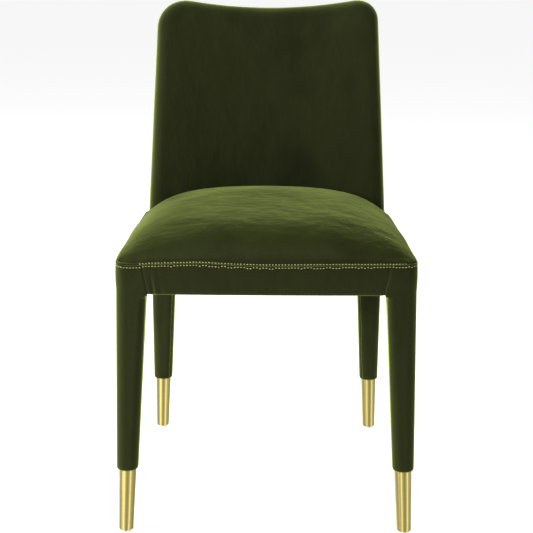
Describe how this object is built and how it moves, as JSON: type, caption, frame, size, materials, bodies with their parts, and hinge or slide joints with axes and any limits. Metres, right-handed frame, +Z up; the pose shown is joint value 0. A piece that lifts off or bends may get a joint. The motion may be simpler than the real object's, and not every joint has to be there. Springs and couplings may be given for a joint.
{
  "type": "dining chair",
  "caption": "Upholstered velvet dining chair with a low curved back, a crowned seat and tapered padded legs that end in brass ferrules.",
  "frame": {"origin": "on the floor, at the centre of the chair's bounding box seen from above", "axes": "+Z up; -Y the way a sitter faces; +X to the right as seen from the front"},
  "size_m": [0.4838, 0.565, 0.8354],
  "materials": {
    "velvet": "matte",
    "foam": "matte",
    "wadding": "matte",
    "webbing": "matte",
    "dust_cloth": "matte",
    "hardwood": "matte",
    "dowel_wood": "matte",
    "plywood": "matte",
    "brass": "satin",
    "nylon": "matte",
    "zinc_steel": "satin"
  },
  "bodies": {
    "root": {"seat_top_cover": "velvet", "back_inside_cover": "velvet", "back_outside_cover": "velvet", "apron_cover_front": "velvet", "apron_cover_rear": "velvet", "apron_cover_left": "velvet", "apron_cover_right": "velvet", "front_leg_sleeve_left": "velvet", "front_leg_sleeve_right": "velvet", "rear_leg_sleeve_left": "velvet", "rear_leg_sleeve_right": "velvet", "seat_foam": "foam", "back_front_foam": "foam", "seat_wadding": "wadding", "back_rear_pad": "wadding", "webbing_lengthwise": "webbing", "webbing_crosswise": "webbing", "dust_cover": "dust_cloth", "front_leg_left": "hardwood", "front_leg_right": "hardwood", "rear_leg_left": "hardwood", "rear_leg_right": "hardwood", "front_rail": "hardwood", "rear_rail": "hardwood", "side_rail_left": "hardwood", "side_rail_right": "hardwood", "crest_rail": "hardwood", "lower_back_rail": "hardwood", "front_corner_block_left": "hardwood", "front_corner_block_right": "hardwood", "rear_corner_block_left": "hardwood", "rear_corner_block_right": "hardwood", "seat_dowels": "dowel_wood", "back_dowels": "dowel_wood", "back_panel": "plywood", "front_ferrule_left": "brass", "front_ferrule_right": "brass", "rear_ferrule_left": "brass", "rear_ferrule_right": "brass", "front_glide_left": "nylon", "front_glide_right": "nylon", "rear_glide_left": "nylon", "rear_glide_right": "nylon", "corner_block_screws": "zinc_steel", "glide_nails": "zinc_steel", "dust_cover_staples": "zinc_steel"}
  },
  "joints": []
}
